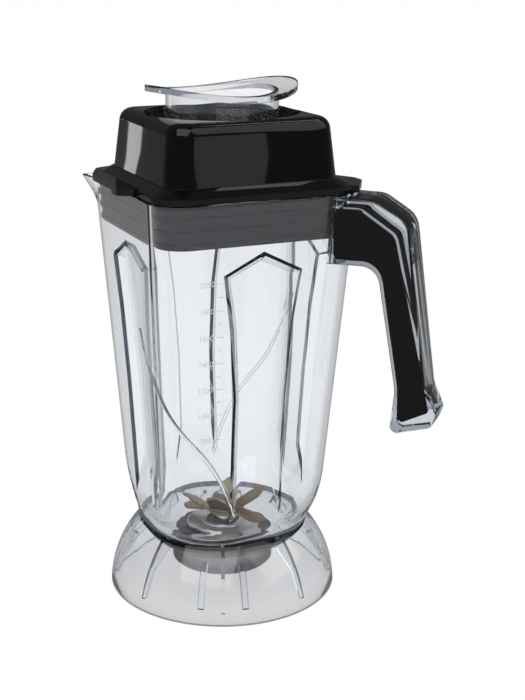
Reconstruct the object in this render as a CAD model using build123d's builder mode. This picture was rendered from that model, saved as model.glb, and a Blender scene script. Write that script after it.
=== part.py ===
from build123d import *
import math
import os

os.makedirs("parts", exist_ok=True)

# Sizes in millimetres. Z runs up the jar's axis from the underside of the base skirt.
# The square's front face looks along -Y and the handle sits on the corner between +X and -Y.

# Jar body: a rounded square that tapers down to a round bowl
rim_z = 262.0
rim_half = 65.75
wall_taper = 0.06
wall = 3.6
rim_radius = 20.0
neck_z = 44.0
neck_r = 52.8
bowl_top_z = 86.0
bowl_top_radius = 25.0
foot_flat = 4.0
floor_top = 34.0
floor_bottom = 29.0
floor_hole_r = 16.0

# Base skirt
skirt_r = 73.5
skirt_bore_r = 70.0
skirt_land = 5.0
web_thickness = 2.2
pad_width = 3.6

# Pressed panel on each face, outline like a narrow house
panel_apex_z = 230.5
panel_shoulder_z = 219.0
panel_shoulder_half = 23.0
panel_waist_z = 185.0
panel_waist_half = 18.0
panel_low_z = 140.0
panel_low_half = 15.4
panel_bottom_z = 62.0
panel_foot_run = 4.6
panel_depth = 6.0
panel_side_inset = 4.0

# Handle, in the upright plane of the corner's diagonal
handle_root_r = 68.0
handle_root_half = 17.5
handle_tip_r = 145.0
handle_tip_half = 11.0
handle_round = 1.6
grip_depth = 7.0
grip_gap = 0.12
grip_proud = 0.4

# Lid, gasket and filler cap
lid_gap = 0.3
lid_wall = 2.6
flange_half = 64.0
flange_t = 3.2
ear_t = 4.0
block_base_half = 54.6
block_top_half = 50.6
lid_round = 8.0
block_base_z = 270.0
lid_top_z = 305.6
dish_r = 47.0
dish_floor_r = 41.0
dish_floor_z = 282.0
plug_half = 56.4
plug_bottom_z = 238.6
gasket_bottom_z = 236.0
gasket_top_z = 260.0
gasket_gap = 0.35
filler_hole_r = 34.4
filler_tube_bottom_z = 256.0
cap_r = 34.0
cap_wall = 2.6
cap_bottom_z = 250.0
cap_plate_a = 49.0
cap_plate_b = 38.0
cap_plate_z = 313.6
cap_plate_rise = 6.5
cap_plate_t = 3.6
cap_turn = 12.0
cap_collar_r = 38.5

# Blade set and bearings
shaft_r = 4.0
shaft_gap = 0.02
flat_half = 3.1
housing_r = 15.7
housing_bottom_z = 10.0
housing_top_z = 40.0
housing_flange_r = 24.0
gasket_t = 1.4
flange_top_z = 38.6
bearing_r = 11.0
bearing_w = 7.0
lower_bearing_z = 13.0
upper_bearing_z = 25.0
ball_pitch_r = 7.6
ball_r = 2.0
ball_gap = 0.04
ball_count = 7
inner_race_r = 6.3
outer_race_r = 8.9
sleeve_r = 5.6
sleeve_top_z = 46.0
seal_bottom_z = 33.5
seal_top_z = 38.8
blade_t = 1.8
blade_width = 11.0
nut_r = 32.8
nut_bottom_z = 14.6


def half_at(z):
    return rim_half - wall_taper * (rim_z - z)


def radius_at(z):
    return rim_radius + (bowl_top_radius - rim_radius) * (rim_z - z) / (rim_z - bowl_top_z)


def inner_half_at(z):
    return half_at(z) - wall


def inner_radius_at(z):
    return radius_at(z) - wall


def arc_reach(points, z):
    (r1, z1), (r2, z2), (r3, z3) = points
    a = r1 * (z2 - z3) - z1 * (r2 - r3) + r2 * z3 - r3 * z2
    b = (r1**2 + z1**2) * (z3 - z2) + (r2**2 + z2**2) * (z1 - z3) + (r3**2 + z3**2) * (z2 - z1)
    c = (r1**2 + z1**2) * (r2 - r3) + (r2**2 + z2**2) * (r3 - r1) + (r3**2 + z3**2) * (r1 - r2)
    middle_r = -b / (2 * a)
    middle_z = -c / (2 * a)
    square = (r1 - middle_r) ** 2 + (z1 - middle_z) ** 2
    return middle_r + math.sqrt(max(square - (z - middle_z) ** 2, 0))


def corner_radius(half, reach):
    return min((math.sqrt(2) * half - reach) / (math.sqrt(2) - 1), half - foot_flat)


# Reach of the corners on the bowl, outside and inside, and the bowl's round lower part
bowl_top_reach = math.sqrt(2) * (half_at(bowl_top_z) - bowl_top_radius) + bowl_top_radius
outer_arc = [(neck_r, neck_z), (61.6, 60.0), (bowl_top_reach, bowl_top_z)]
outer_foot = [(33.0, floor_bottom), (46.6, 34.6), (neck_r, neck_z)]
inner_neck = (neck_r - wall, neck_z + 2.0)
inner_arc = [inner_neck, (58.2, 61.4), (bowl_top_reach - wall, bowl_top_z)]
inner_foot = [(29.0, floor_top), (42.6, 38.4), inner_neck]
bowl_levels = (29.0, 30.4, 32.4, 35.4, 39.4, 44.0, 50.0, 56.0, 62.0, 68.0, 74.0, 80.0, 86.0)
hollow_levels = (34.0, 35.0, 36.8, 39.4, 42.6, 46.0, 52.0, 58.0, 64.0, 70.0, 75.0, 80.0, 86.0)


def outer_half(z):
    return half_at(z) if z >= neck_z else arc_reach(outer_foot, z)


def outer_radius(z):
    if z >= bowl_top_z:
        return radius_at(z)
    if z >= neck_z:
        return corner_radius(half_at(z), arc_reach(outer_arc, z))
    return outer_half(z) - foot_flat


def hollow_half(z):
    return inner_half_at(z) if z >= inner_neck[1] else arc_reach(inner_foot, z)


def hollow_radius(z):
    if z >= bowl_top_z:
        return inner_radius_at(z)
    if z >= inner_neck[1]:
        return corner_radius(inner_half_at(z), arc_reach(inner_arc, z))
    return hollow_half(z) - foot_flat


def house(inset, foot_z):
    right = [
        (panel_shoulder_half - inset, panel_shoulder_z - 0.5 * inset),
        (panel_waist_half - inset, panel_waist_z),
        (panel_low_half - inset, panel_low_z),
        (panel_low_half - inset, foot_z),
    ]
    left = [(-x, z) for x, z in reversed(right)]
    return [(0, panel_apex_z - 1.1 * inset)] + right + left


lean = math.atan(wall_taper)
face_plane = Plane(
    origin=(0, -half_at(0), 0),
    x_dir=(1, 0, 0),
    z_dir=(0, -math.cos(lean), -math.sin(lean)),
)
inset_per_depth = panel_side_inset / panel_depth
skin_shift = wall / math.cos(math.atan(inset_per_depth))
foot_shift = wall * math.hypot(1, panel_foot_run)


def panel_foot(depth):
    return panel_bottom_z + panel_foot_run * depth


# Hollow of one pressed panel, cut into the face from outside
with BuildPart() as panel_hollow:
    with BuildSketch(face_plane.offset(0.6)):
        Polygon(*house(-0.6 * inset_per_depth, panel_foot(-0.6)), align=None)
    with BuildSketch(face_plane.offset(-panel_depth)):
        Polygon(*house(panel_side_inset, panel_foot(panel_depth)), align=None)
    loft(ruled=True)

# Skin of the same panel, standing into the jar behind the hollow
skin_back = panel_depth + wall
with BuildPart() as panel_skin:
    with BuildSketch(face_plane.offset(-1.0)):
        Polygon(*house(inset_per_depth - skin_shift, panel_foot(1.0) - foot_shift), align=None)
    with BuildSketch(face_plane.offset(-skin_back)):
        Polygon(
            *house(skin_back * inset_per_depth - skin_shift, panel_foot(skin_back) - foot_shift),
            align=None,
        )
    loft(ruled=True)


def corner_point(z, angle):
    middle = half_at(z) - radius_at(z)
    reach = radius_at(z)
    return (
        -middle + reach * math.cos(math.radians(angle)),
        -middle + reach * math.sin(math.radians(angle)),
        z,
    )


# Sweeping crease over the corner pillar, from one panel's edge down to the next panel's foot
with BuildPart() as crease:
    with BuildLine() as crease_path:
        Spline(
            (-half_at(182), -18.6, 182),
            (-half_at(166), -26.5, 166),
            corner_point(150, 190),
            corner_point(134, 215),
            corner_point(120, 240),
            corner_point(108, 262),
            (-25.0, -half_at(91), 91),
            (-18.5, -half_at(77), 77),
            (-14.8, -half_at(66), 66),
        )
    with BuildSketch(crease_path.line ^ 0):
        Circle(1.3)
    sweep()

# Radial rib along the skirt's inside, from the bowl's foot down
web_plane = Plane.XZ
with BuildPart() as web:
    with BuildSketch(web_plane):
        Polygon((45.6, 35.6), (51, 43), (64.8, 25), (71.2, 7), (67.6, 6.8), (60.4, 22.6), align=None)
    extrude(amount=web_thickness / 2, both=True)

# Locating pad on the skirt's inside
with BuildPart() as pad:
    with BuildSketch(web_plane):
        Polygon((70.8, 9), (67.2, 9), (61.4, 22), (54.5, 33), (57.5, 35.4), (66, 22.5), align=None)
    extrude(amount=pad_width / 2, both=True)

# Handle: outline in the diagonal plane, thickness by a wedge seen from above
diagonal = 1 / math.sqrt(2)
handle_plane = Plane(
    origin=(0, 0, 0),
    x_dir=(diagonal, -diagonal, 0),
    z_dir=(-diagonal, -diagonal, 0),
)
handle_plan = Plane(origin=(0, 0, 0), x_dir=(diagonal, -diagonal, 0), z_dir=(0, 0, 1))


def plan_wedge(inside, outside):
    near = handle_root_half
    far = handle_tip_half
    return [
        (handle_root_r, near + inside),
        (handle_tip_r, far + inside),
        (handle_tip_r, far + outside),
        (handle_root_r, near + outside),
    ]


with BuildPart() as handle:
    with BuildSketch(handle_plane) as handle_side:
        with BuildLine():
            Polyline(
                (handle_root_r, 261.0),
                (99.0, 261.0),
                (119.6, 249.0),
                (134.2, 149.0),
                (141.0, 134.0),
                (138.0, 125.5),
                (113.0, 119.0),
                (115.6, 147.0),
                (102.4, 221.5),
                (handle_root_r, 221.5),
                close=True,
            )
        make_face()
        fillet(handle_side.vertices().filter_by_position(Axis.X, 118, 121), 14)
        fillet(handle_side.vertices().filter_by_position(Axis.X, 98.5, 99.5), 14)
        fillet(handle_side.vertices().filter_by_position(Axis.X, 102, 103), 12)
        fillet(handle_side.vertices().filter_by_position(Axis.X, 134, 134.5), 14)
        fillet(handle_side.vertices().filter_by_position(Axis.X, 115.4, 115.8), 30)
        fillet(handle_side.vertices().filter_by_position(Axis.X, 137.5, 141.1), 3.0)
        fillet(handle_side.vertices().filter_by_position(Axis.X, 112.9, 113.1), 4)
    extrude(amount=30, both=True)
    with BuildSketch(handle_plan):
        Polygon(
            (handle_root_r, handle_root_half),
            (handle_tip_r, handle_tip_half),
            (handle_tip_r, -handle_tip_half),
            (handle_root_r, -handle_root_half),
            align=None,
        )
    extrude(amount=300, mode=Mode.INTERSECT)
    across = Axis((0, 0, 0), (-diagonal, -diagonal, 0))
    side_faces = handle.faces().sort_by(across)
    fillet(side_faces[0].edges() + side_faces[-1].edges(), handle_round)

grip_points = [
    (76.5, 255.0),
    (91.0, 255.0),
    (112.6, 240.5),
    (136.6, 135.5),
    (118.2, 126.5),
    (117.4, 150.0),
    (104.4, 224.8),
    (76.5, 224.8),
]

with BuildSketch(handle_plane) as grip_side:
    with BuildLine():
        Polyline(*grip_points, close=True)
    make_face()
    fillet(grip_side.vertices().filter_by_position(Axis.X, 76, 77), 4)
    fillet(grip_side.vertices().filter_by_position(Axis.X, 90, 92), 9)
    fillet(grip_side.vertices().filter_by_position(Axis.X, 112, 113), 9)
    fillet(grip_side.vertices().filter_by_position(Axis.X, 104, 105), 13)
    fillet(grip_side.vertices().filter_by_position(Axis.X, 117.2, 117.6), 24)
    fillet(grip_side.vertices().filter_by_position(Axis.X, 136, 137), 3)
    fillet(grip_side.vertices().filter_by_position(Axis.X, 118, 118.5), 3)

# Pouring lip on the corner opposite the handle
spout_dir = (-diagonal, diagonal)


def on_spout(r):
    return (spout_dir[0] * r, spout_dir[1] * r)


spout_low_z = 245.0
corner_r = math.sqrt(2) * (half_at(rim_z) - rim_radius)
corner_low_r = math.sqrt(2) * (half_at(spout_low_z) - radius_at(spout_low_z))

with BuildPart() as spout:
    with BuildSketch(Plane.XY.offset(rim_z)):
        with Locations(on_spout(corner_r)):
            Circle(rim_radius)
        with Locations(on_spout(88.5)):
            Circle(6.5)
        make_hull()
    with BuildSketch(Plane.XY.offset(spout_low_z)):
        with Locations(on_spout(corner_low_r)):
            Circle(radius_at(spout_low_z) - 0.4)
        with Locations(on_spout(corner_low_r + 3.0)):
            Circle(radius_at(spout_low_z) - 3.8)
        make_hull()
    loft(ruled=True)

with BuildPart() as spout_channel:
    with BuildSketch(Plane.XY.offset(rim_z + 0.5)):
        with Locations(on_spout(corner_r)):
            Circle(rim_radius - wall)
        with Locations(on_spout(88.7)):
            Circle(3.6)
        make_hull()
    with BuildSketch(Plane.XY.offset(spout_low_z + 3)):
        with Locations(on_spout(corner_low_r)):
            Circle(radius_at(spout_low_z) - wall - 0.6)
        with Locations(on_spout(corner_low_r + 3.0)):
            Circle(radius_at(spout_low_z) - wall - 4.0)
        make_hull()
    loft(ruled=True)

# Outside of body and bowl: rounded squares that turn into circles towards the neck
with BuildPart() as body:
    for z in bowl_levels:
        with BuildSketch(Plane.XY.offset(z)):
            RectangleRounded(2 * outer_half(z), 2 * outer_half(z), outer_radius(z))
    loft()
    for z in (bowl_top_z, rim_z):
        with BuildSketch(Plane.XY.offset(z)):
            RectangleRounded(2 * half_at(z), 2 * half_at(z), outer_radius(z))
    loft(ruled=True)

# Inside of the same, one wall thickness in
with BuildPart() as cavity:
    for z in hollow_levels:
        with BuildSketch(Plane.XY.offset(z)):
            RectangleRounded(2 * hollow_half(z), 2 * hollow_half(z), hollow_radius(z))
    loft()
    for z in (bowl_top_z, rim_z + 2):
        with BuildSketch(Plane.XY.offset(z)):
            RectangleRounded(2 * inner_half_at(z), 2 * inner_half_at(z), hollow_radius(z))
    loft(ruled=True)

# Pocket in the handle's side, cut once on each side
with BuildPart() as grip_pocket:
    with BuildSketch(handle_plane):
        add(grip_side.sketch)
        offset(amount=grip_gap)
    extrude(amount=30, both=True)
    with BuildSketch(handle_plan):
        Polygon(*plan_wedge(-grip_depth, 6.0), align=None)
    extrude(amount=300, mode=Mode.INTERSECT)

# The jar: one clear moulding
with BuildPart() as jar:
    add(body.part)
    add(spout.part)
    add(handle.part)
    with BuildSketch(Plane.XZ):
        with BuildLine():
            Polyline((skirt_bore_r, skirt_land), (skirt_bore_r, 0), (skirt_r, 0))
            ThreePointArc((skirt_r, 0), (66.8, 26.0), (52.4, neck_z + 1.5))
            Line((52.4, neck_z + 1.5), (50.0, neck_z - 1.0))
            ThreePointArc((50.0, neck_z - 1.0), (63.4, 24.0), (skirt_bore_r, skirt_land))
        make_face()
    revolve(axis=Axis.Z)
    with PolarLocations(0, 8, start_angle=22.5):
        add(web.part)
    with PolarLocations(0, 4, start_angle=56.0):
        add(pad.part)
    with PolarLocations(0, 4, start_angle=79.0):
        add(pad.part)
    with PolarLocations(0, 2):
        add(crease.part)
    add(cavity.part, mode=Mode.SUBTRACT)
    add(spout_channel.part, mode=Mode.SUBTRACT)
    with PolarLocations(0, 4):
        add(panel_skin.part)
    with PolarLocations(0, 4):
        add(panel_hollow.part, mode=Mode.SUBTRACT)
    with BuildSketch(Plane.XY.offset(floor_bottom - 2)):
        Circle(floor_hole_r)
    extrude(amount=floor_top - floor_bottom + 4, mode=Mode.SUBTRACT)
    add(grip_pocket.part, mode=Mode.SUBTRACT)
    add(mirror(grip_pocket.part, about=handle_plane), mode=Mode.SUBTRACT)

jar.part.label = "jar"
export_step(jar.part, "parts/jar.step")

# Black grip inlays, a little proud of the handle's sides
with BuildPart() as handle_grip_back:
    with BuildSketch(handle_plane):
        add(grip_side.sketch)
    extrude(amount=30, both=True)
    with BuildSketch(handle_plan):
        Polygon(*plan_wedge(-grip_depth, grip_proud), align=None)
    extrude(amount=300, mode=Mode.INTERSECT)

handle_grip_back.part.label = "handle_grip_back"
export_step(handle_grip_back.part, "parts/handle_grip_back.step")

with BuildPart() as handle_grip_front:
    add(mirror(handle_grip_back.part, about=handle_plane))

handle_grip_front.part.label = "handle_grip_front"
export_step(handle_grip_front.part, "parts/handle_grip_front.step")

# Lid: hollow square block on a flange with two ears, round dish and filler tube
flange_z = rim_z + lid_gap
spout_ear_points = [
    (-50.0, -22.0),
    (-65.0, -22.0),
    (-73.5, -17.5),
    (-73.5, -7.0),
    (-70.0, -3.5),
    (-70.0, 40.0),
    (-61.0, 61.0),
    (-40.0, 70.0),
    (3.5, 70.0),
    (7.0, 73.5),
    (17.5, 73.5),
    (22.0, 65.0),
    (22.0, 50.0),
]


def on_nib(vertex):
    return max(-vertex.X, vertex.Y) > 73


def on_lobe(vertex):
    return min(-vertex.X, vertex.Y) > 39


with BuildPart() as lid_block:
    for z, half, radius in ((block_base_z, block_base_half, 14.0), (lid_top_z, block_top_half, 12.5)):
        with BuildSketch(Plane.XY.offset(z)):
            RectangleRounded(2 * half, 2 * half, radius)
    loft(ruled=True)
    fillet(lid_block.faces().sort_by(Axis.Z)[-1].edges(), lid_round)

with BuildPart() as lid_hollow:
    for z, half, radius in (
        (flange_z + 2, block_base_half - lid_wall + 0.4, 12.0),
        (lid_top_z - lid_wall, block_top_half - lid_wall, 10.0),
    ):
        with BuildSketch(Plane.XY.offset(z)):
            RectangleRounded(2 * half, 2 * half, radius)
    loft(ruled=True)
    fillet(lid_hollow.faces().sort_by(Axis.Z)[-1].edges(), lid_round - lid_wall)

with BuildPart() as lid:
    with BuildSketch(Plane.XY.offset(flange_z)):
        RectangleRounded(2 * flange_half, 2 * flange_half, 18.0)
    extrude(amount=flange_t)
    with BuildSketch(Plane.XY.offset(flange_z)) as spout_ear:
        Polygon(*spout_ear_points, align=None)
        fillet(spout_ear.vertices().filter_by(on_nib), 3.0)
        fillet(spout_ear.vertices().filter_by(on_lobe), 9.0)
    extrude(amount=ear_t)
    with BuildSketch(Plane.XY.offset(flange_z)) as handle_ear:
        Polygon((50, -16), (62, -16), (72.5, -34), (72.5, -44), (62, -60), (46, -60), align=None)
        fillet(handle_ear.vertices().filter_by_position(Axis.X, 72, 73), 3.0)
    extrude(amount=ear_t)
    for z, half, radius in (
        (flange_z + flange_t, flange_half - 1.5, 17.0),
        (block_base_z, block_base_half + 1.2, 14.8),
    ):
        with BuildSketch(Plane.XY.offset(z)):
            RectangleRounded(2 * half, 2 * half, radius)
    loft(ruled=True)
    add(lid_block.part)
    with BuildSketch(Plane.XY.offset(plug_bottom_z)):
        RectangleRounded(2 * plug_half, 2 * plug_half, 15.0)
    extrude(amount=flange_z - plug_bottom_z)
    # Hollow of plug and block
    with BuildSketch(Plane.XY.offset(plug_bottom_z - 1)):
        RectangleRounded(2 * (plug_half - lid_wall), 2 * (plug_half - lid_wall), 15.0 - lid_wall)
    extrude(amount=flange_z + 4 - plug_bottom_z, mode=Mode.SUBTRACT)
    add(lid_hollow.part, mode=Mode.SUBTRACT)
    # Dish with its floor, and the filler tube below
    with BuildSketch(Plane.XZ):
        Polygon(
            (dish_r - 2.0, lid_top_z - 3.4),
            (dish_r + 1.0, lid_top_z - 3.4),
            (dish_floor_r + lid_wall, dish_floor_z - lid_wall),
            (filler_hole_r + lid_wall, dish_floor_z - lid_wall),
            (filler_hole_r + lid_wall - 0.6, filler_tube_bottom_z),
            (filler_hole_r - 1.0, filler_tube_bottom_z),
            (filler_hole_r - 1.0, dish_floor_z),
            (dish_floor_r, dish_floor_z),
            align=None,
        )
    revolve(axis=Axis.Z)
    with BuildSketch(Plane.XZ):
        Polygon(
            (0, lid_top_z + 1),
            (dish_r + 0.3, lid_top_z + 1),
            (dish_floor_r, dish_floor_z),
            (filler_hole_r, dish_floor_z),
            (filler_hole_r, filler_tube_bottom_z - 1),
            (0, filler_tube_bottom_z - 1),
            align=None,
        )
    revolve(axis=Axis.Z, mode=Mode.SUBTRACT)

lid.part.label = "lid"
export_step(lid.part, "parts/lid.step")

# Rubber sleeve on the lid's plug, with three lips that face the jar's wall
lip_zs = (237.4, 245.0, 252.6)
with BuildPart() as lid_gasket:
    for z in (gasket_bottom_z, gasket_top_z):
        with BuildSketch(Plane.XY.offset(z)):
            side = 2 * (inner_half_at(z) - gasket_gap - 1.3)
            RectangleRounded(side, side, inner_radius_at(z) - gasket_gap - 1.3)
    loft(ruled=True)
    for z in lip_zs:
        for edge_z in (z, z + 2.2):
            with BuildSketch(Plane.XY.offset(edge_z)):
                side = 2 * (inner_half_at(edge_z) - gasket_gap)
                RectangleRounded(side, side, inner_radius_at(edge_z) - gasket_gap)
        loft(ruled=True)
    with BuildSketch(Plane.XY.offset(plug_bottom_z)):
        RectangleRounded(2 * plug_half, 2 * plug_half, 15.0)
    extrude(amount=gasket_top_z - plug_bottom_z + 1, mode=Mode.SUBTRACT)
    with BuildSketch(Plane.XY.offset(gasket_bottom_z - 1)):
        RectangleRounded(2 * (plug_half - lid_wall), 2 * (plug_half - lid_wall), 15.0 - lid_wall)
    extrude(amount=6, mode=Mode.SUBTRACT)

lid_gasket.part.label = "lid_gasket"
export_step(lid_gasket.part, "parts/lid_gasket.step")

# Filler cap: a clear cup, its mouth in a saddle-shaped oval plate
cap_plane = Plane.XZ.rotated((0, 0, cap_turn))
cap_plan = Plane(
    origin=(0, 0, 0),
    x_dir=(math.cos(math.radians(cap_turn)), math.sin(math.radians(cap_turn)), 0),
    z_dir=(0, 0, 1),
)
saddle_reach = 60.0
saddle_rise = cap_plate_rise * (saddle_reach / cap_plate_a) ** 2

with BuildPart() as cap_plate:
    with BuildSketch(cap_plan.offset(cap_plate_z - 4)):
        Ellipse(cap_plate_a, cap_plate_b)
    extrude(amount=24)
    with BuildSketch(cap_plane):
        with BuildLine():
            ThreePointArc(
                (-saddle_reach, cap_plate_z + saddle_rise),
                (0, cap_plate_z),
                (saddle_reach, cap_plate_z + saddle_rise),
            )
            Line(
                (saddle_reach, cap_plate_z + saddle_rise),
                (saddle_reach, cap_plate_z + saddle_rise + cap_plate_t),
            )
            ThreePointArc(
                (saddle_reach, cap_plate_z + saddle_rise + cap_plate_t),
                (0, cap_plate_z + cap_plate_t),
                (-saddle_reach, cap_plate_z + saddle_rise + cap_plate_t),
            )
            Line(
                (-saddle_reach, cap_plate_z + saddle_rise + cap_plate_t),
                (-saddle_reach, cap_plate_z + saddle_rise),
            )
        make_face()
    extrude(amount=60, both=True, mode=Mode.INTERSECT)

with BuildPart() as filler_cap:
    with BuildSketch(Plane.XY.offset(cap_bottom_z)):
        Circle(cap_r)
    extrude(amount=cap_plate_z + 2.0 - cap_bottom_z)
    with BuildSketch(Plane.XY.offset(dish_floor_z + lid_gap)):
        Circle(cap_collar_r)
    extrude(amount=3.0)
    with BuildSketch(Plane.XY.offset(cap_plate_z + 1.0)):
        Circle(cap_r)
    with BuildSketch(Plane.XY.offset(cap_plate_z + 9.0)):
        Circle(cap_r)
    loft(ruled=True)
    with BuildSketch(cap_plane):
        with BuildLine():
            ThreePointArc(
                (-saddle_reach, cap_plate_z + saddle_rise + 1.0),
                (0, cap_plate_z + 1.0),
                (saddle_reach, cap_plate_z + saddle_rise + 1.0),
            )
            Polyline(
                (saddle_reach, cap_plate_z + saddle_rise + 1.0),
                (saddle_reach, cap_plate_z + 60),
                (-saddle_reach, cap_plate_z + 60),
                (-saddle_reach, cap_plate_z + saddle_rise + 1.0),
            )
        make_face()
    extrude(amount=60, both=True, mode=Mode.SUBTRACT)
    add(cap_plate.part)
    with BuildSketch(Plane.XY.offset(cap_bottom_z + cap_wall)):
        Circle(cap_r - cap_wall)
    extrude(amount=120, mode=Mode.SUBTRACT)

filler_cap.part.label = "filler_cap"
export_step(filler_cap.part, "parts/filler_cap.step")

# Blades: three two-armed stampings on one hub, each with a flat-sided hole
blade_stack_z = sleeve_top_z
blade_arms = {
    "blade_lower": (0, 10.2, 20.4, -10.0, -48.0),
    "blade_middle": (1, 9.2, 21.4, 32.0, -13.0),
    "blade_upper": (2, 8.2, 15.6, 50.0, 52.0),
}


def mitre(bend):
    return blade_t / 2 * math.tan(math.radians(abs(bend)) / 2)


def arm_outline(length, bend):
    half = blade_width / 2
    return [
        (-mitre(bend), -half),
        (0.72 * length, -half - 0.6),
        (length, -0.6),
        (length - 1.2, 1.8),
        (0.62 * length, half),
        (-mitre(bend), half),
    ]


def blade_plane(level, turn):
    angle = math.radians(turn)
    return Plane(
        origin=(0, 0, blade_stack_z + level * blade_t),
        x_dir=(math.cos(angle), math.sin(angle), 0),
        z_dir=(0, 0, 1),
    )


def arm_plane(level, reach, bend, turn):
    angle = math.radians(turn)
    rise = math.radians(bend)
    out = (math.cos(angle), math.sin(angle))
    return Plane(
        origin=(reach * out[0], reach * out[1], blade_stack_z + (level + 0.5) * blade_t),
        x_dir=(math.cos(rise) * out[0], math.cos(rise) * out[1], math.sin(rise)),
        z_dir=(-math.sin(rise) * out[0], -math.sin(rise) * out[1], math.cos(rise)),
    )


level, reach, length, bend, turn = blade_arms["blade_lower"]
with BuildPart() as blade_lower:
    with BuildSketch(blade_plane(level, turn)):
        Circle(reach - 0.6)
        Rectangle(2 * (reach + mitre(bend)), blade_width)
    extrude(amount=blade_t)
    for side in (0, 180):
        with BuildSketch(arm_plane(level, reach, bend, turn + side)):
            Polygon(*arm_outline(length, bend), align=None)
        extrude(amount=blade_t / 2, both=True)
    with BuildSketch(Plane.XY.offset(blade_stack_z)):
        Circle(shaft_r + shaft_gap)
        Rectangle(20, 2 * (flat_half + shaft_gap), mode=Mode.INTERSECT)
    extrude(amount=4 * blade_t, mode=Mode.SUBTRACT)

blade_lower.part.label = "blade_lower"
export_step(blade_lower.part, "parts/blade_lower.step")

level, reach, length, bend, turn = blade_arms["blade_middle"]
with BuildPart() as blade_middle:
    with BuildSketch(blade_plane(level, turn)):
        Circle(reach - 0.6)
        Rectangle(2 * (reach + mitre(bend)), blade_width)
    extrude(amount=blade_t)
    for side in (0, 180):
        with BuildSketch(arm_plane(level, reach, bend, turn + side)):
            Polygon(*arm_outline(length, bend), align=None)
        extrude(amount=blade_t / 2, both=True)
    with BuildSketch(Plane.XY.offset(blade_stack_z)):
        Circle(shaft_r + shaft_gap)
        Rectangle(20, 2 * (flat_half + shaft_gap), mode=Mode.INTERSECT)
    extrude(amount=4 * blade_t, mode=Mode.SUBTRACT)

blade_middle.part.label = "blade_middle"
export_step(blade_middle.part, "parts/blade_middle.step")

level, reach, length, bend, turn = blade_arms["blade_upper"]
with BuildPart() as blade_upper:
    with BuildSketch(blade_plane(level, turn)):
        Circle(reach - 0.6)
        Rectangle(2 * (reach + mitre(bend)), blade_width)
    extrude(amount=blade_t)
    for side in (0, 180):
        with BuildSketch(arm_plane(level, reach, bend, turn + side)):
            Polygon(*arm_outline(length, bend), align=None)
        extrude(amount=blade_t / 2, both=True)
    with BuildSketch(Plane.XY.offset(blade_stack_z)):
        Circle(shaft_r + shaft_gap)
        Rectangle(20, 2 * (flat_half + shaft_gap), mode=Mode.INTERSECT)
    extrude(amount=4 * blade_t, mode=Mode.SUBTRACT)

blade_upper.part.label = "blade_upper"
export_step(blade_upper.part, "parts/blade_upper.step")

# Hexagon nut on the blades, its upper corners chamfered
nut_seat_z = blade_stack_z + 3 * blade_t
nut_t = 6.5
with BuildPart() as blade_nut:
    with BuildSketch(Plane.XY.offset(nut_seat_z)):
        RegularPolygon(6.5, 6, major_radius=False)
        Circle(shaft_r + shaft_gap, mode=Mode.SUBTRACT)
    extrude(amount=nut_t)
    with BuildSketch(Plane.XZ):
        Polygon(
            (0, nut_seat_z),
            (8.0, nut_seat_z),
            (8.0, nut_seat_z + nut_t - 1.0),
            (6.4, nut_seat_z + nut_t),
            (0, nut_seat_z + nut_t),
            align=None,
        )
    revolve(axis=Axis.Z, mode=Mode.INTERSECT)

blade_nut.part.label = "blade_nut"
export_step(blade_nut.part, "parts/blade_nut.step")

# Shaft: drive spline below, round through the bearings, two flats at the blades, round again in the nut
spline_bottom_z = 5.4
spline_top_z = 11.2
with BuildPart() as blade_shaft:
    with BuildSketch(Plane.XY.offset(spline_bottom_z)):
        Circle(5.0)
        with PolarLocations(5.2, 12):
            Rectangle(1.9, 1.3)
    extrude(amount=spline_top_z - spline_bottom_z)
    with BuildSketch(Plane.XY.offset(spline_top_z)):
        Circle(5.4)
    extrude(amount=lower_bearing_z - spline_top_z)
    with BuildSketch(Plane.XY.offset(lower_bearing_z)):
        Circle(shaft_r)
    extrude(amount=sleeve_top_z - lower_bearing_z)
    with BuildSketch(Plane.XY.offset(sleeve_top_z)):
        Circle(shaft_r)
        Rectangle(20, 2 * flat_half, mode=Mode.INTERSECT)
    extrude(amount=nut_seat_z - sleeve_top_z)
    with BuildSketch(Plane.XY.offset(nut_seat_z)):
        Circle(shaft_r)
    extrude(amount=nut_t + 1.0)

blade_shaft.part.label = "blade_shaft"
export_step(blade_shaft.part, "parts/blade_shaft.step")

# Sleeve between upper bearing and blades
upper_bearing_top = upper_bearing_z + bearing_w
with BuildPart() as shaft_sleeve:
    with BuildSketch(Plane.XY.offset(upper_bearing_top)):
        Circle(sleeve_r)
        Circle(shaft_r + shaft_gap, mode=Mode.SUBTRACT)
    extrude(amount=sleeve_top_z - upper_bearing_top)

shaft_sleeve.part.label = "shaft_sleeve"
export_step(shaft_sleeve.part, "parts/shaft_sleeve.step")

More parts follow.
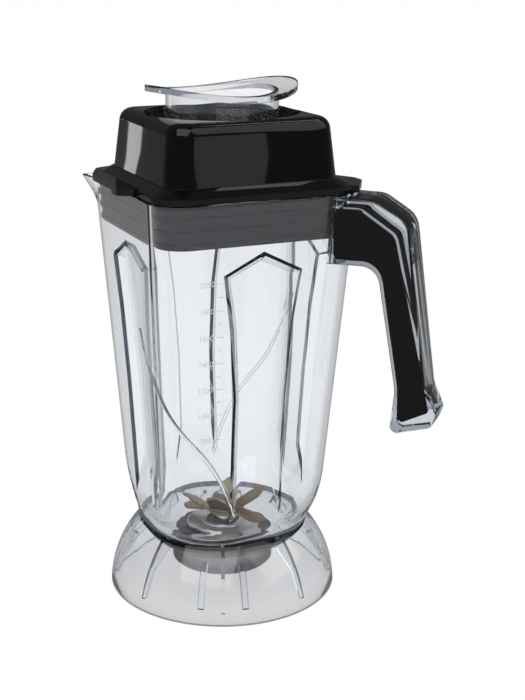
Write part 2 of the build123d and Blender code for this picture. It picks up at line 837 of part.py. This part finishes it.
# Bearing housing through the jar's floor
flange_bottom_z = floor_top + gasket_t
with BuildPart() as bearing_housing:
    with BuildSketch(Plane.XZ):
        Polygon(
            (0, housing_bottom_z),
            (housing_r - 0.8, housing_bottom_z),
            (housing_r, housing_bottom_z + 0.8),
            (housing_r, flange_bottom_z),
            (housing_flange_r, flange_bottom_z),
            (housing_flange_r, flange_top_z - 1.2),
            (housing_flange_r - 1.2, flange_top_z),
            (14.0, flange_top_z),
            (13.4, housing_top_z),
            (0, housing_top_z),
            align=None,
        )
    revolve(axis=Axis.Z)
    with BuildSketch(Plane.XY.offset(housing_bottom_z - 1)):
        Circle(bearing_r)
    extrude(amount=upper_bearing_top - housing_bottom_z + 1, mode=Mode.SUBTRACT)
    with BuildSketch(Plane.XY.offset(upper_bearing_top - 1)):
        Circle(8.6)
    extrude(amount=20, mode=Mode.SUBTRACT)
    with BuildSketch(Plane.XY.offset(seal_bottom_z)):
        Circle(bearing_r)
    extrude(amount=20, mode=Mode.SUBTRACT)
    with BuildSketch(Plane.XY.offset(lower_bearing_z - 1.3)):
        Circle(bearing_r + 0.7)
    extrude(amount=1.3, mode=Mode.SUBTRACT)

bearing_housing.part.label = "bearing_housing"
export_step(bearing_housing.part, "parts/bearing_housing.step")

# Gasket under the housing's flange
with BuildPart() as housing_gasket:
    with BuildSketch(Plane.XY.offset(floor_top)):
        Circle(housing_flange_r - 0.6)
        Circle(housing_r + 0.3, mode=Mode.SUBTRACT)
    extrude(amount=gasket_t)

housing_gasket.part.label = "housing_gasket"
export_step(housing_gasket.part, "parts/housing_gasket.step")

# Lip seal in the top of the housing
with BuildPart() as shaft_seal:
    with BuildSketch(Plane.XZ):
        Polygon(
            (bearing_r, seal_bottom_z),
            (bearing_r, seal_top_z),
            (sleeve_r + 1.4, seal_top_z),
            (sleeve_r + 0.05, seal_top_z - 1.0),
            (sleeve_r + 0.05, seal_top_z - 2.2),
            (sleeve_r + 1.8, seal_bottom_z),
            align=None,
        )
    revolve(axis=Axis.Z)

shaft_seal.part.label = "shaft_seal"
export_step(shaft_seal.part, "parts/shaft_seal.step")

# Upper ball bearing
groove_r = ball_r + ball_gap
middle_z = upper_bearing_z + bearing_w / 2
with BuildPart() as upper_outer_race:
    with BuildSketch(Plane.XZ):
        with Locations(((outer_race_r + bearing_r) / 2, middle_z)):
            Rectangle(bearing_r - outer_race_r, bearing_w)
        with Locations((ball_pitch_r, middle_z)):
            Circle(groove_r, mode=Mode.SUBTRACT)
    revolve(axis=Axis.Z)

upper_outer_race.part.label = "upper_outer_race"
export_step(upper_outer_race.part, "parts/upper_outer_race.step")

with BuildPart() as upper_inner_race:
    with BuildSketch(Plane.XZ):
        with Locations(((shaft_r + shaft_gap + inner_race_r) / 2, middle_z)):
            Rectangle(inner_race_r - shaft_r - shaft_gap, bearing_w)
        with Locations((ball_pitch_r, middle_z)):
            Circle(groove_r, mode=Mode.SUBTRACT)
    revolve(axis=Axis.Z)

upper_inner_race.part.label = "upper_inner_race"
export_step(upper_inner_race.part, "parts/upper_inner_race.step")

with BuildPart() as upper_balls:
    with PolarLocations(ball_pitch_r, ball_count):
        with Locations((0, 0, middle_z)):
            Sphere(ball_r)

upper_balls.part.label = "upper_balls"
export_step(upper_balls.part, "parts/upper_balls.step")

# Tube between the two bearings
with BuildPart() as bearing_spacer:
    with BuildSketch(Plane.XY.offset(lower_bearing_z + bearing_w)):
        Circle(bearing_r)
        Circle(9.4, mode=Mode.SUBTRACT)
    extrude(amount=upper_bearing_z - lower_bearing_z - bearing_w)

bearing_spacer.part.label = "bearing_spacer"
export_step(bearing_spacer.part, "parts/bearing_spacer.step")

# Lower ball bearing, the same as the upper one
drop = (0, 0, lower_bearing_z - upper_bearing_z)
with BuildPart() as lower_outer_race:
    with Locations(drop):
        add(upper_outer_race.part)

lower_outer_race.part.label = "lower_outer_race"
export_step(lower_outer_race.part, "parts/lower_outer_race.step")

with BuildPart() as lower_inner_race:
    with Locations(drop):
        add(upper_inner_race.part)

lower_inner_race.part.label = "lower_inner_race"
export_step(lower_inner_race.part, "parts/lower_inner_race.step")

with BuildPart() as lower_balls:
    with Locations(drop):
        add(upper_balls.part)

lower_balls.part.label = "lower_balls"
export_step(lower_balls.part, "parts/lower_balls.step")

# Snap ring in the housing's groove, open on one side with two eyes
with BuildPart() as snap_ring:
    with BuildSketch(Plane.XY.offset(lower_bearing_z - 1.2)):
        Circle(bearing_r + 0.6)
        Circle(9.6, mode=Mode.SUBTRACT)
        with Locations((9.4, 2.6), (9.4, -2.6)):
            Circle(1.5)
        with Locations((10.5, 0)):
            Rectangle(6, 2.4, mode=Mode.SUBTRACT)
        with Locations((9.4, 2.6), (9.4, -2.6)):
            Circle(0.7, mode=Mode.SUBTRACT)
    extrude(amount=1.2)

snap_ring.part.label = "snap_ring"
export_step(snap_ring.part, "parts/snap_ring.step")

# Ring nut that clamps the housing to the jar's floor, with pin holes for a spanner in its underside
with BuildPart() as retaining_nut:
    with BuildSketch(Plane.XZ):
        Polygon(
            (housing_r + 0.05, floor_bottom),
            (housing_r + 0.05, nut_bottom_z + 4.0),
            (nut_r - 11.0, nut_bottom_z),
            (nut_r - 1.0, nut_bottom_z),
            (nut_r, nut_bottom_z + 1.0),
            (nut_r, floor_bottom),
            align=None,
        )
    revolve(axis=Axis.Z)
    with BuildSketch(Plane.XY.offset(nut_bottom_z)):
        with PolarLocations(nut_r - 5.4, 6):
            Circle(2.2)
    extrude(amount=6.0, mode=Mode.SUBTRACT)

retaining_nut.part.label = "retaining_nut"
export_step(retaining_nut.part, "parts/retaining_nut.step")
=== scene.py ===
import math

import bmesh
import bpy
from mathutils import Matrix, Vector


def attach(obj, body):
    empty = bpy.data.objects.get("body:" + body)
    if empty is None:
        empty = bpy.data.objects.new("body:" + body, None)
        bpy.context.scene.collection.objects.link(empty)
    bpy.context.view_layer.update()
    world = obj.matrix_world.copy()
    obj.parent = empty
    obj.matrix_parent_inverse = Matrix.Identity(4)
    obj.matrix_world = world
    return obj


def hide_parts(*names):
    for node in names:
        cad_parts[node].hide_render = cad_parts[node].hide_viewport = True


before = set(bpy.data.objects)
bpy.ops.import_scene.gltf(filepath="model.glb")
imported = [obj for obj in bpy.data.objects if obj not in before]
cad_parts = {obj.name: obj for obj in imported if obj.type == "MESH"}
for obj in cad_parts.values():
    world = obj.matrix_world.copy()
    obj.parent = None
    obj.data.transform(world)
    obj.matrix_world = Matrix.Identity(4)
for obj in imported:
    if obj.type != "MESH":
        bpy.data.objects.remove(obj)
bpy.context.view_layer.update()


# Jar: one clear moulding of tough polycarbonate, with walls, panels, skirt, ribs and
# the handle's frame in one piece. It is polished on all sides, and its edges are soft.
class Wire:
    """A socket of a material's node tree. Arithmetic on it adds Math nodes."""

    def __init__(self, tree, socket):
        self.tree = tree
        self.socket = socket

    def node(self, kind, inputs=None, out=0, **settings):
        """Adds a node with its settings, then the values or links of its sockets."""
        made = self.tree.nodes.new(kind)
        for name, value in settings.items():
            setattr(made, name, value)
        for key, value in (inputs or {}).items():
            if isinstance(value, Wire):
                self.tree.links.new(value.socket, made.inputs[key])
            else:
                made.inputs[key].default_value = value
        return Wire(self.tree, made.outputs[out])

    def math(self, operation, *values):
        return self.node("ShaderNodeMath", dict(enumerate(values)), operation=operation)

    def __add__(self, other):
        return self.math("ADD", self, other)

    __radd__ = __add__

    def __sub__(self, other):
        return self.math("SUBTRACT", self, other)

    def __rsub__(self, other):
        return self.math("SUBTRACT", other, self)

    def __mul__(self, other):
        return self.math("MULTIPLY", self, other)

    __rmul__ = __mul__

    def __pow__(self, other):
        return self.math("POWER", self, other)

    def feed(self, socket):
        self.tree.links.new(self.socket, socket)


def shader_of(material):
    return material.node_tree.nodes["Principled BSDF"]


def finish(name, colour, roughness, **constants):
    """A Principled material with constant values on its sockets."""
    material = bpy.data.materials.new(name)
    material.use_nodes = True
    shader = shader_of(material)
    shader.inputs["Base Color"].default_value = (*colour, 1.0)
    shader.inputs["Roughness"].default_value = roughness
    for socket, value in constants.items():
        shader.inputs[socket.replace("_", " ")].default_value = value
    material.diffuse_color = (*colour, 1.0)
    return material


merge_gap = 2e-6
flat_angle = math.radians(0.6)


def dressed(node, body, material, edge=0.0, smooth_deg=28.0, rounder=None, normals=None):
    """Stands a smooth copy of a CAD node in its place, its sharp edges rounded by edge metres."""
    mesh = bpy.data.meshes.new(node + "_skin")
    work = bmesh.new()
    work.from_mesh(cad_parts[node].data)
    bmesh.ops.remove_doubles(work, verts=work.verts, dist=merge_gap)
    if edge:
        bmesh.ops.dissolve_limit(
            work, angle_limit=flat_angle, verts=work.verts, edges=work.edges, delimit={"NORMAL"}
        )
    if rounder:
        rounder(work)
    work.to_mesh(mesh)
    work.free()
    for attribute in [a for a in mesh.attributes if a.name == "custom_normal"]:
        mesh.attributes.remove(attribute)
    mesh.shade_smooth()
    mesh.set_sharp_from_angle(angle=math.radians(smooth_deg))
    if normals:
        mesh.normals_split_custom_set(normals(mesh))
    mesh.materials.clear()
    mesh.materials.append(material)
    piece = bpy.data.objects.new(node + "_skin", mesh)
    bpy.context.scene.collection.objects.link(piece)
    if edge:
        bevel = piece.modifiers.new("edge", "BEVEL")
        bevel.width = edge
        bevel.segments = 2
        bevel.limit_method = "ANGLE"
        bevel.angle_limit = math.radians(smooth_deg)
        bevel.harden_normals = True
    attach(piece, body)
    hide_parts(node)


clear_plastic = finish(
    "clear_plastic",
    (0.985, 0.99, 0.995),
    0.02,
    Transmission_Weight=1.0,
    IOR=1.58,
)
clear_tree = clear_plastic.node_tree
clear_depth = clear_tree.nodes.new("ShaderNodeVolumeAbsorption")
clear_depth.inputs["Color"].default_value = (0.47, 0.52, 0.6, 1.0)
clear_depth.inputs["Density"].default_value = 42.0
clear_tree.links.new(clear_depth.outputs["Volume"], clear_tree.nodes["Material Output"].inputs["Volume"])
rim_z = 0.262
rim_half = 0.06575
rim_radius = 0.02
wall_taper = 0.06
bowl_z = 0.086
bowl_radius = 0.025
wall = 0.0036
radius_slope = (rim_radius - bowl_radius) / (rim_z - bowl_z)
on_wall = 2e-5
off_chord = 4e-4
widest_facet = math.radians(4.0)


def wall_corner(place, depth):
    """Axis and radius of the rounded corner on a place's side, on the outside or a depth further in."""
    radius = rim_radius - radius_slope * (rim_z - place.z)
    middle = rim_half - wall_taper * (rim_z - place.z) - radius
    axis = Vector((math.copysign(middle, place.x), math.copysign(middle, place.y), place.z))
    return axis, radius - depth


def corner_depth(place, slack):
    """Nothing for the outside or the wall's thickness for the inside, where a place is on a corner."""
    if bowl_z - on_wall < place.z < rim_z + on_wall:
        for depth in (0.0, wall):
            axis, radius = wall_corner(place, depth)
            arm = place - axis
            beside = min(arm.x * axis.x, arm.y * axis.y) > -1e-9
            if beside and abs(arm.length - radius) < slack:
                return depth
    return None


def round_corners(work):
    """Splits the wide facets of the rounded corners and moves the new points out to the true curve."""
    for _ in range(2):
        wide = []
        for edge in work.edges:
            near, far = (vertex.co for vertex in edge.verts)
            depth = corner_depth(near, on_wall)
            if depth is None or corner_depth(far, on_wall) != depth:
                continue
            if corner_depth((near + far) / 2, off_chord) != depth:
                continue
            near_arm = near - wall_corner(near, depth)[0]
            far_arm = far - wall_corner(far, depth)[0]
            if near_arm.angle(far_arm) > widest_facet:
                wide.append(edge)
        made = bmesh.ops.subdivide_edges(work, edges=wide, cuts=1)
        for vertex in made["geom_inner"]:
            if isinstance(vertex, bmesh.types.BMVert):
                depth = corner_depth(vertex.co, off_chord)
                if depth is not None:
                    axis, radius = wall_corner(vertex.co, depth)
                    vertex.co = axis + (vertex.co - axis).normalized() * radius
        bmesh.ops.triangulate(work, faces=[face for face in work.faces if len(face.verts) > 3])


def wall_direction(place):
    """The way the wall faces at a place on a flat side or a rounded corner."""
    depth = corner_depth(place, on_wall)
    if depth is not None:
        arm = (place - wall_corner(place, depth)[0]).normalized()
    elif bowl_z - on_wall < place.z < rim_z + on_wall:
        half = rim_half - wall_taper * (rim_z - place.z)
        across = 0 if abs(place.x) > abs(place.y) else 1
        if min(abs(abs(place[across]) - half + depth) for depth in (0.0, wall)) > on_wall:
            return None
        arm = Vector((0.0, 0.0, 0.0))
        arm[across] = math.copysign(1.0, place[across])
    else:
        return None
    lean = (wall_taper - radius_slope) * (abs(arm.x) + abs(arm.y)) + radius_slope
    return Vector((arm.x, arm.y, -lean)).normalized()


def wall_normals(mesh):
    """Normals for all facets' corners: those of the walls from their sizes, the others as they are."""
    directions = [wall_direction(vertex.co) for vertex in mesh.vertices]
    same_way = math.cos(math.radians(20.0))
    found = [corner.vector.copy() for corner in mesh.corner_normals]
    for facet in mesh.polygons:
        for loop in facet.loop_indices:
            direction = directions[mesh.loops[loop].vertex_index]
            if direction and abs(direction.dot(facet.normal)) > same_way:
                found[loop] = direction * math.copysign(1.0, direction.dot(facet.normal))
    return found


dressed("jar", "jar", clear_plastic, rounder=round_corners, normals=wall_normals)

# Graduation: white ink printed on the front face beside the panel, a short line for each
# hundred millilitres and a number at every second line.
print_ink = finish("print_ink", (0.86, 0.86, 0.86), 0.6)
face_lean = math.atan(wall_taper)
face_up = Vector((0.0, -math.sin(face_lean), math.cos(face_lean)))
face_out = Vector((0.0, -math.cos(face_lean), -math.sin(face_lean)))
print_gap = 0.00006
print_foot = Vector((0.0, wall_taper * rim_z - rim_half, 0.0)) + print_gap * face_out
print_place_matrix = Matrix(
    (
        (1.0, face_up.x, face_out.x, print_foot.x),
        (0.0, face_up.y, face_out.y, print_foot.y),
        (0.0, face_up.z, face_out.z, print_foot.z),
        (0.0, 0.0, 0.0, 1.0),
    )
)
full_mark_up = 0.2164
mark_pitch = 0.0081
mark_count = 13
mark_x = -0.0274
mark_length = 0.0048
mark_stroke = 0.0005
number_x = -0.0312
number_size = 0.0047
lowest_number = 800
number_step = 100
lowest_mark_up = full_mark_up - (mark_count - 1) * mark_pitch


def built(name, tree, values):
    """A plain mesh made by a node tree, with the tree's inputs set by their identifiers."""
    seed = bpy.data.objects.new(name + "_seed", bpy.data.meshes.new(name + "_seed"))
    bpy.context.scene.collection.objects.link(seed)
    maker = seed.modifiers.new("maker", "NODES")
    maker.node_group = tree
    for item in tree.interface.items_tree:
        if item.in_out == "INPUT" and item.name in values:
            maker[item.identifier] = values[item.name]
    evaluated = seed.evaluated_get(bpy.context.evaluated_depsgraph_get())
    mesh = bpy.data.meshes.new_from_object(evaluated)
    bpy.data.objects.remove(seed)
    return mesh


marks = bpy.data.node_groups.new("graduation_marks", "GeometryNodeTree")
for label, kind in (
    ("Count", "NodeSocketInt"),
    ("Pitch", "NodeSocketFloat"),
    ("Length", "NodeSocketFloat"),
    ("Stroke", "NodeSocketFloat"),
    ("Ink", "NodeSocketMaterial"),
):
    marks.interface.new_socket(label, in_out="INPUT", socket_type=kind)
marks.interface.new_socket("Geometry", in_out="OUTPUT", socket_type="NodeSocketGeometry")
marks_in = marks.nodes.new("NodeGroupInput")
count, pitch, length, stroke, ink = (Wire(marks, marks_in.outputs[k]) for k in range(5))
step = count.node("ShaderNodeCombineXYZ", {"Y": pitch})
row = count.node("GeometryNodeMeshLine", {"Count": count, "Offset": step}, mode="OFFSET")
dash = count.node(
    "GeometryNodeMeshGrid", {"Size X": length, "Size Y": stroke, "Vertices X": 2, "Vertices Y": 2}
)
index = count.node("GeometryNodeInputIndex")
reach = 1 - 0.45 * index.math("MODULO", index, 2.0)
stretch = count.node("ShaderNodeCombineXYZ", {"X": reach, "Y": 1.0, "Z": 1.0})
dashes = count.node("GeometryNodeInstanceOnPoints", {"Points": row, "Instance": dash, "Scale": stretch})
solid_dashes = count.node("GeometryNodeRealizeInstances", {"Geometry": dashes})
inked = count.node("GeometryNodeSetMaterial", {"Geometry": solid_dashes, "Material": ink})
marks_out = marks.nodes.new("NodeGroupOutput")
inked.feed(marks_out.inputs[0])
mark_mesh = built(
    "graduation_marks",
    marks,
    {
        "Count": mark_count,
        "Pitch": mark_pitch,
        "Length": mark_length,
        "Stroke": mark_stroke,
        "Ink": print_ink,
    },
)
print_work = bmesh.new()
mark_mesh.transform(Matrix.Translation((mark_x, lowest_mark_up, 0.0)))
print_work.from_mesh(mark_mesh)
for k in range(0, mark_count, 2):
    letters = bpy.data.curves.new("graduation_number", "FONT")
    letters.body = str(lowest_number + number_step * k)
    letters.size = number_size
    letters.align_x = "RIGHT"
    letters.align_y = "CENTER"
    writing = bpy.data.objects.new("graduation_number", letters)
    bpy.context.scene.collection.objects.link(writing)
    number_mesh = bpy.data.meshes.new_from_object(
        writing.evaluated_get(bpy.context.evaluated_depsgraph_get())
    )
    number_mesh.transform(Matrix.Translation((number_x, lowest_mark_up + k * mark_pitch, 0.0)))
    print_work.from_mesh(number_mesh)
    bpy.data.objects.remove(writing)
graduation_mesh = bpy.data.meshes.new("graduation")
print_work.to_mesh(graduation_mesh)
print_work.free()
graduation_mesh.transform(print_place_matrix)
graduation_mesh.materials.clear()
graduation_mesh.materials.append(print_ink)
graduation = bpy.data.objects.new("graduation", graduation_mesh)
bpy.context.scene.collection.objects.link(graduation)
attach(graduation, "jar")

# Handle grips: two black inlays of soft-touch plastic, let into the pockets on the
# handle's sides. Their skin has a fine spark-eroded grain.
grip_plastic = finish("grip_plastic", (0.006, 0.006, 0.007), 0.5, Specular_IOR_Level=0.25)
grip_tree = grip_plastic.node_tree
grip_place = Wire(grip_tree, grip_tree.nodes.new("ShaderNodeTexCoord").outputs["Object"])
grip_grain = grip_place.node("ShaderNodeTexNoise", {"Vector": grip_place, "Scale": 1800.0, "Detail": 2.0})
grip_place.node(
    "ShaderNodeBump", {"Height": grip_grain, "Strength": 0.12, "Distance": 0.0002}
).feed(shader_of(grip_plastic).inputs["Normal"])
for side in ("front", "back"):
    dressed(f"handle_grip_{side}", "jar", grip_plastic, edge=0.0006)

# Blade bearing: a turned aluminium housing clamped through the floor, with a rubber
# gasket, a lip seal and two ball bearings, held from below by a snap ring.
housing_metal = finish("housing_metal", (0.7, 0.7, 0.71), 0.38, Metallic=1.0)
bright_steel = finish("bright_steel", (0.72, 0.72, 0.72), 0.16, Metallic=1.0)
seal_rubber = finish("seal_rubber", (0.014, 0.018, 0.027), 0.5)
dressed("bearing_housing", "jar", housing_metal)
dressed("bearing_spacer", "jar", housing_metal)
dressed("housing_gasket", "jar", seal_rubber)
dressed("shaft_seal", "jar", seal_rubber)
dressed("snap_ring", "jar", bright_steel)
for bearing in ("upper", "lower"):
    dressed(f"{bearing}_outer_race", "jar", bright_steel)
    dressed(f"{bearing}_inner_race", "blade_rotor", bright_steel)
    dressed(f"{bearing}_balls", "bearing_balls", bright_steel, smooth_deg=60.0)

# Retaining nut: a turned aluminium ring, screwed up against the floor from below with a
# pin spanner that goes into the holes in its underside.
nut_metal = finish("nut_metal", (0.4, 0.4, 0.41), 0.22, Metallic=1.0)
dressed("retaining_nut", "jar", nut_metal)

# Blade set: three stamped blades of hardened stainless steel on a splined shaft,
# clamped between a sleeve and a hexagon nut.
blade_steel = finish("blade_steel", (0.31, 0.245, 0.165), 0.3, Metallic=1.0)
for blade in ("blade_lower", "blade_middle", "blade_upper", "blade_nut"):
    dressed(blade, "blade_rotor", blade_steel, edge=0.0003)
dressed("blade_shaft", "blade_rotor", bright_steel)
dressed("shaft_sleeve", "blade_rotor", bright_steel)

# Lid: a hollow black moulding, polished on the outside, with a plug that goes into the
# jar's mouth and a round dish for the filler cap.
lid_plastic = finish("lid_plastic", (0.0015, 0.0015, 0.0017), 0.03)
dressed("lid", "lid", lid_plastic, edge=0.0008)

# Lid gasket: a soft rubber sleeve, moulded in one piece and drawn over the lid's plug. Its
# three lips press on the jar's wall and keep the lid in place.
dressed("lid_gasket", "lid", seal_rubber, edge=0.0004)

# Filler cap: a clear cup, moulded of the jar's own plastic, with a saddle-shaped plate round
# its mouth as a finger hold. It hangs loose in the lid's tube by a collar.
dressed("filler_cap", "filler_cap", clear_plastic)

# Studio: a pale floor in a white surround, two soft lamps from above, and three small
# cards whose mirror images lie on the lid.
world = bpy.data.worlds.new("studio")
bpy.context.scene.world = world
world.use_nodes = True
world_tree = world.node_tree
background = world_tree.nodes["Background"]


def rays(tree):
    """Wires of one or nothing: rays from the camera, rays on through clear walls without a mirror on
    their way, rays that have been in clear plastic, and rays of diffuse light."""
    path = tree.nodes.new("ShaderNodeLightPath")
    direct = Wire(tree, path.outputs["Is Camera Ray"])
    through = Wire(tree, path.outputs["Is Transmission Ray"])
    mirrors = Wire(tree, path.outputs["Glossy Depth"])
    walls = Wire(tree, path.outputs["Transmission Depth"])
    straight = through * (1 - mirrors.math("MINIMUM", mirrors, 1.0))
    return direct, straight, walls.math("MINIMUM", walls, 1.0), Wire(tree, path.outputs["Is Diffuse Ray"])


mirrored_level = 0.1
clear_level = 0.5
diffuse_level = 0.5
direct, straight, in_clear, diffuse_ray = rays(world_tree)
seen = direct.math("MAXIMUM", direct, straight)
unseen = mirrored_level + clear_level * in_clear + diffuse_level * diffuse_ray
surround = seen + (1 - seen) * unseen
surround.feed(background.inputs["Strength"])
background.inputs["Color"].default_value = (1.0, 1.0, 1.0, 1.0)

floor_mesh = bpy.data.meshes.new("floor")
floor_reach = 30.0
floor_mesh.from_pydata(
    [
        (-floor_reach, -floor_reach, 0.0),
        (floor_reach, -floor_reach, 0.0),
        (floor_reach, floor_reach, 0.0),
        (-floor_reach, floor_reach, 0.0),
    ],
    [],
    [(0, 1, 2, 3)],
)
floor = bpy.data.objects.new("floor", floor_mesh)
bpy.context.scene.collection.objects.link(floor)
floor_paint = finish("floor_paint", (0.9, 0.9, 0.9), 0.7)
floor_mesh.materials.append(floor_paint)
floor_tree = floor_paint.node_tree
floor_dark = 0.3
floor_lift = 0.6
floor_clear_share = 0.4
floor_white_direct = 0.95
floor_white_through = 0.55
floor_direct, floor_straight, floor_in_clear = rays(floor_tree)[:3]
floor_seen = floor_direct.math("MAXIMUM", floor_direct, floor_straight)
floor_grey = floor_dark + floor_lift * floor_seen.math(
    "MAXIMUM", floor_seen, floor_clear_share * floor_in_clear
)
floor_grey.feed(shader_of(floor_paint).inputs["Base Color"])
floor_glow = floor_tree.nodes.new("ShaderNodeEmission")
floor_mix = floor_tree.nodes.new("ShaderNodeMixShader")
floor_white = floor_white_direct * floor_direct + floor_white_through * floor_straight
floor_white.feed(floor_mix.inputs["Fac"])
floor_glow.inputs["Strength"].default_value = 1.02
floor_tree.links.new(shader_of(floor_paint).outputs["BSDF"], floor_mix.inputs[1])
floor_tree.links.new(floor_glow.outputs["Emission"], floor_mix.inputs[2])
floor_tree.links.new(floor_mix.outputs["Shader"], floor_tree.nodes["Material Output"].inputs["Surface"])


def softbox(name, place, aim, width, height, power):
    """A soft rectangular lamp at a place, turned to face a point."""
    lamp = bpy.data.lights.new(name, "AREA")
    lamp.shape = "RECTANGLE"
    lamp.size = width
    lamp.size_y = height
    lamp.energy = power
    holder = bpy.data.objects.new(name, lamp)
    bpy.context.scene.collection.objects.link(holder)
    turn = (Vector(aim) - Vector(place)).to_track_quat("-Z", "Y")
    holder.matrix_world = Matrix.Translation(place) @ turn.to_matrix().to_4x4()
    return holder


jar_middle = (0.0, 0.0, 0.16)
lid_front = (-0.02, -0.053, 0.285)
lid_left = (-0.053, 0.02, 0.285)
softbox("key", (-0.9, -1.0, 1.6), jar_middle, 2.1, 2.1, 18.0)
softbox("fill", (1.2, -0.9, 1.4), jar_middle, 2.0, 2.0, 10.0)
softbox("top_card", (0.6, 0.08, 1.33), lid_front, 0.14, 0.4, 0.3)
softbox("left_strip", (-0.358, 0.877, 0.224), lid_left, 0.04, 0.16, 0.04)
softbox("front_card", (0.42, -1.155, 0.383), lid_front, 0.166, 0.146, 0.039)

# Camera: where the photograph was taken from, a little above the lid and left of the front.
camera_turn = math.radians(23.0)
camera_pitch = math.radians(17.08)
camera_reach = 0.7936
camera_height = 0.3994
focal_pixels = 1310.0
frame_width = 525
frame_height = 700
axis_pixel = 222.2
sensor = 36.0
camera_data = bpy.data.cameras.new("camera")
camera_data.sensor_width = sensor
camera_data.lens = focal_pixels / frame_height * sensor
camera_data.shift_x = (frame_width / 2 - axis_pixel) / frame_height
camera = bpy.data.objects.new("camera", camera_data)
bpy.context.scene.collection.objects.link(camera)
look = Vector(
    (
        math.sin(camera_turn) * math.cos(camera_pitch),
        math.cos(camera_turn) * math.cos(camera_pitch),
        -math.sin(camera_pitch),
    )
)
stand = Vector(
    (
        -camera_reach * math.sin(camera_turn),
        -camera_reach * math.cos(camera_turn),
        camera_height,
    )
)
camera.matrix_world = Matrix.Translation(stand) @ look.to_track_quat("-Z", "Y").to_matrix().to_4x4()
bpy.context.scene.camera = camera
bpy.context.scene.view_settings.view_transform = "Standard"
bpy.context.scene.cycles.max_bounces = 32
bpy.context.scene.cycles.glossy_bounces = 16
bpy.context.scene.cycles.transmission_bounces = 32
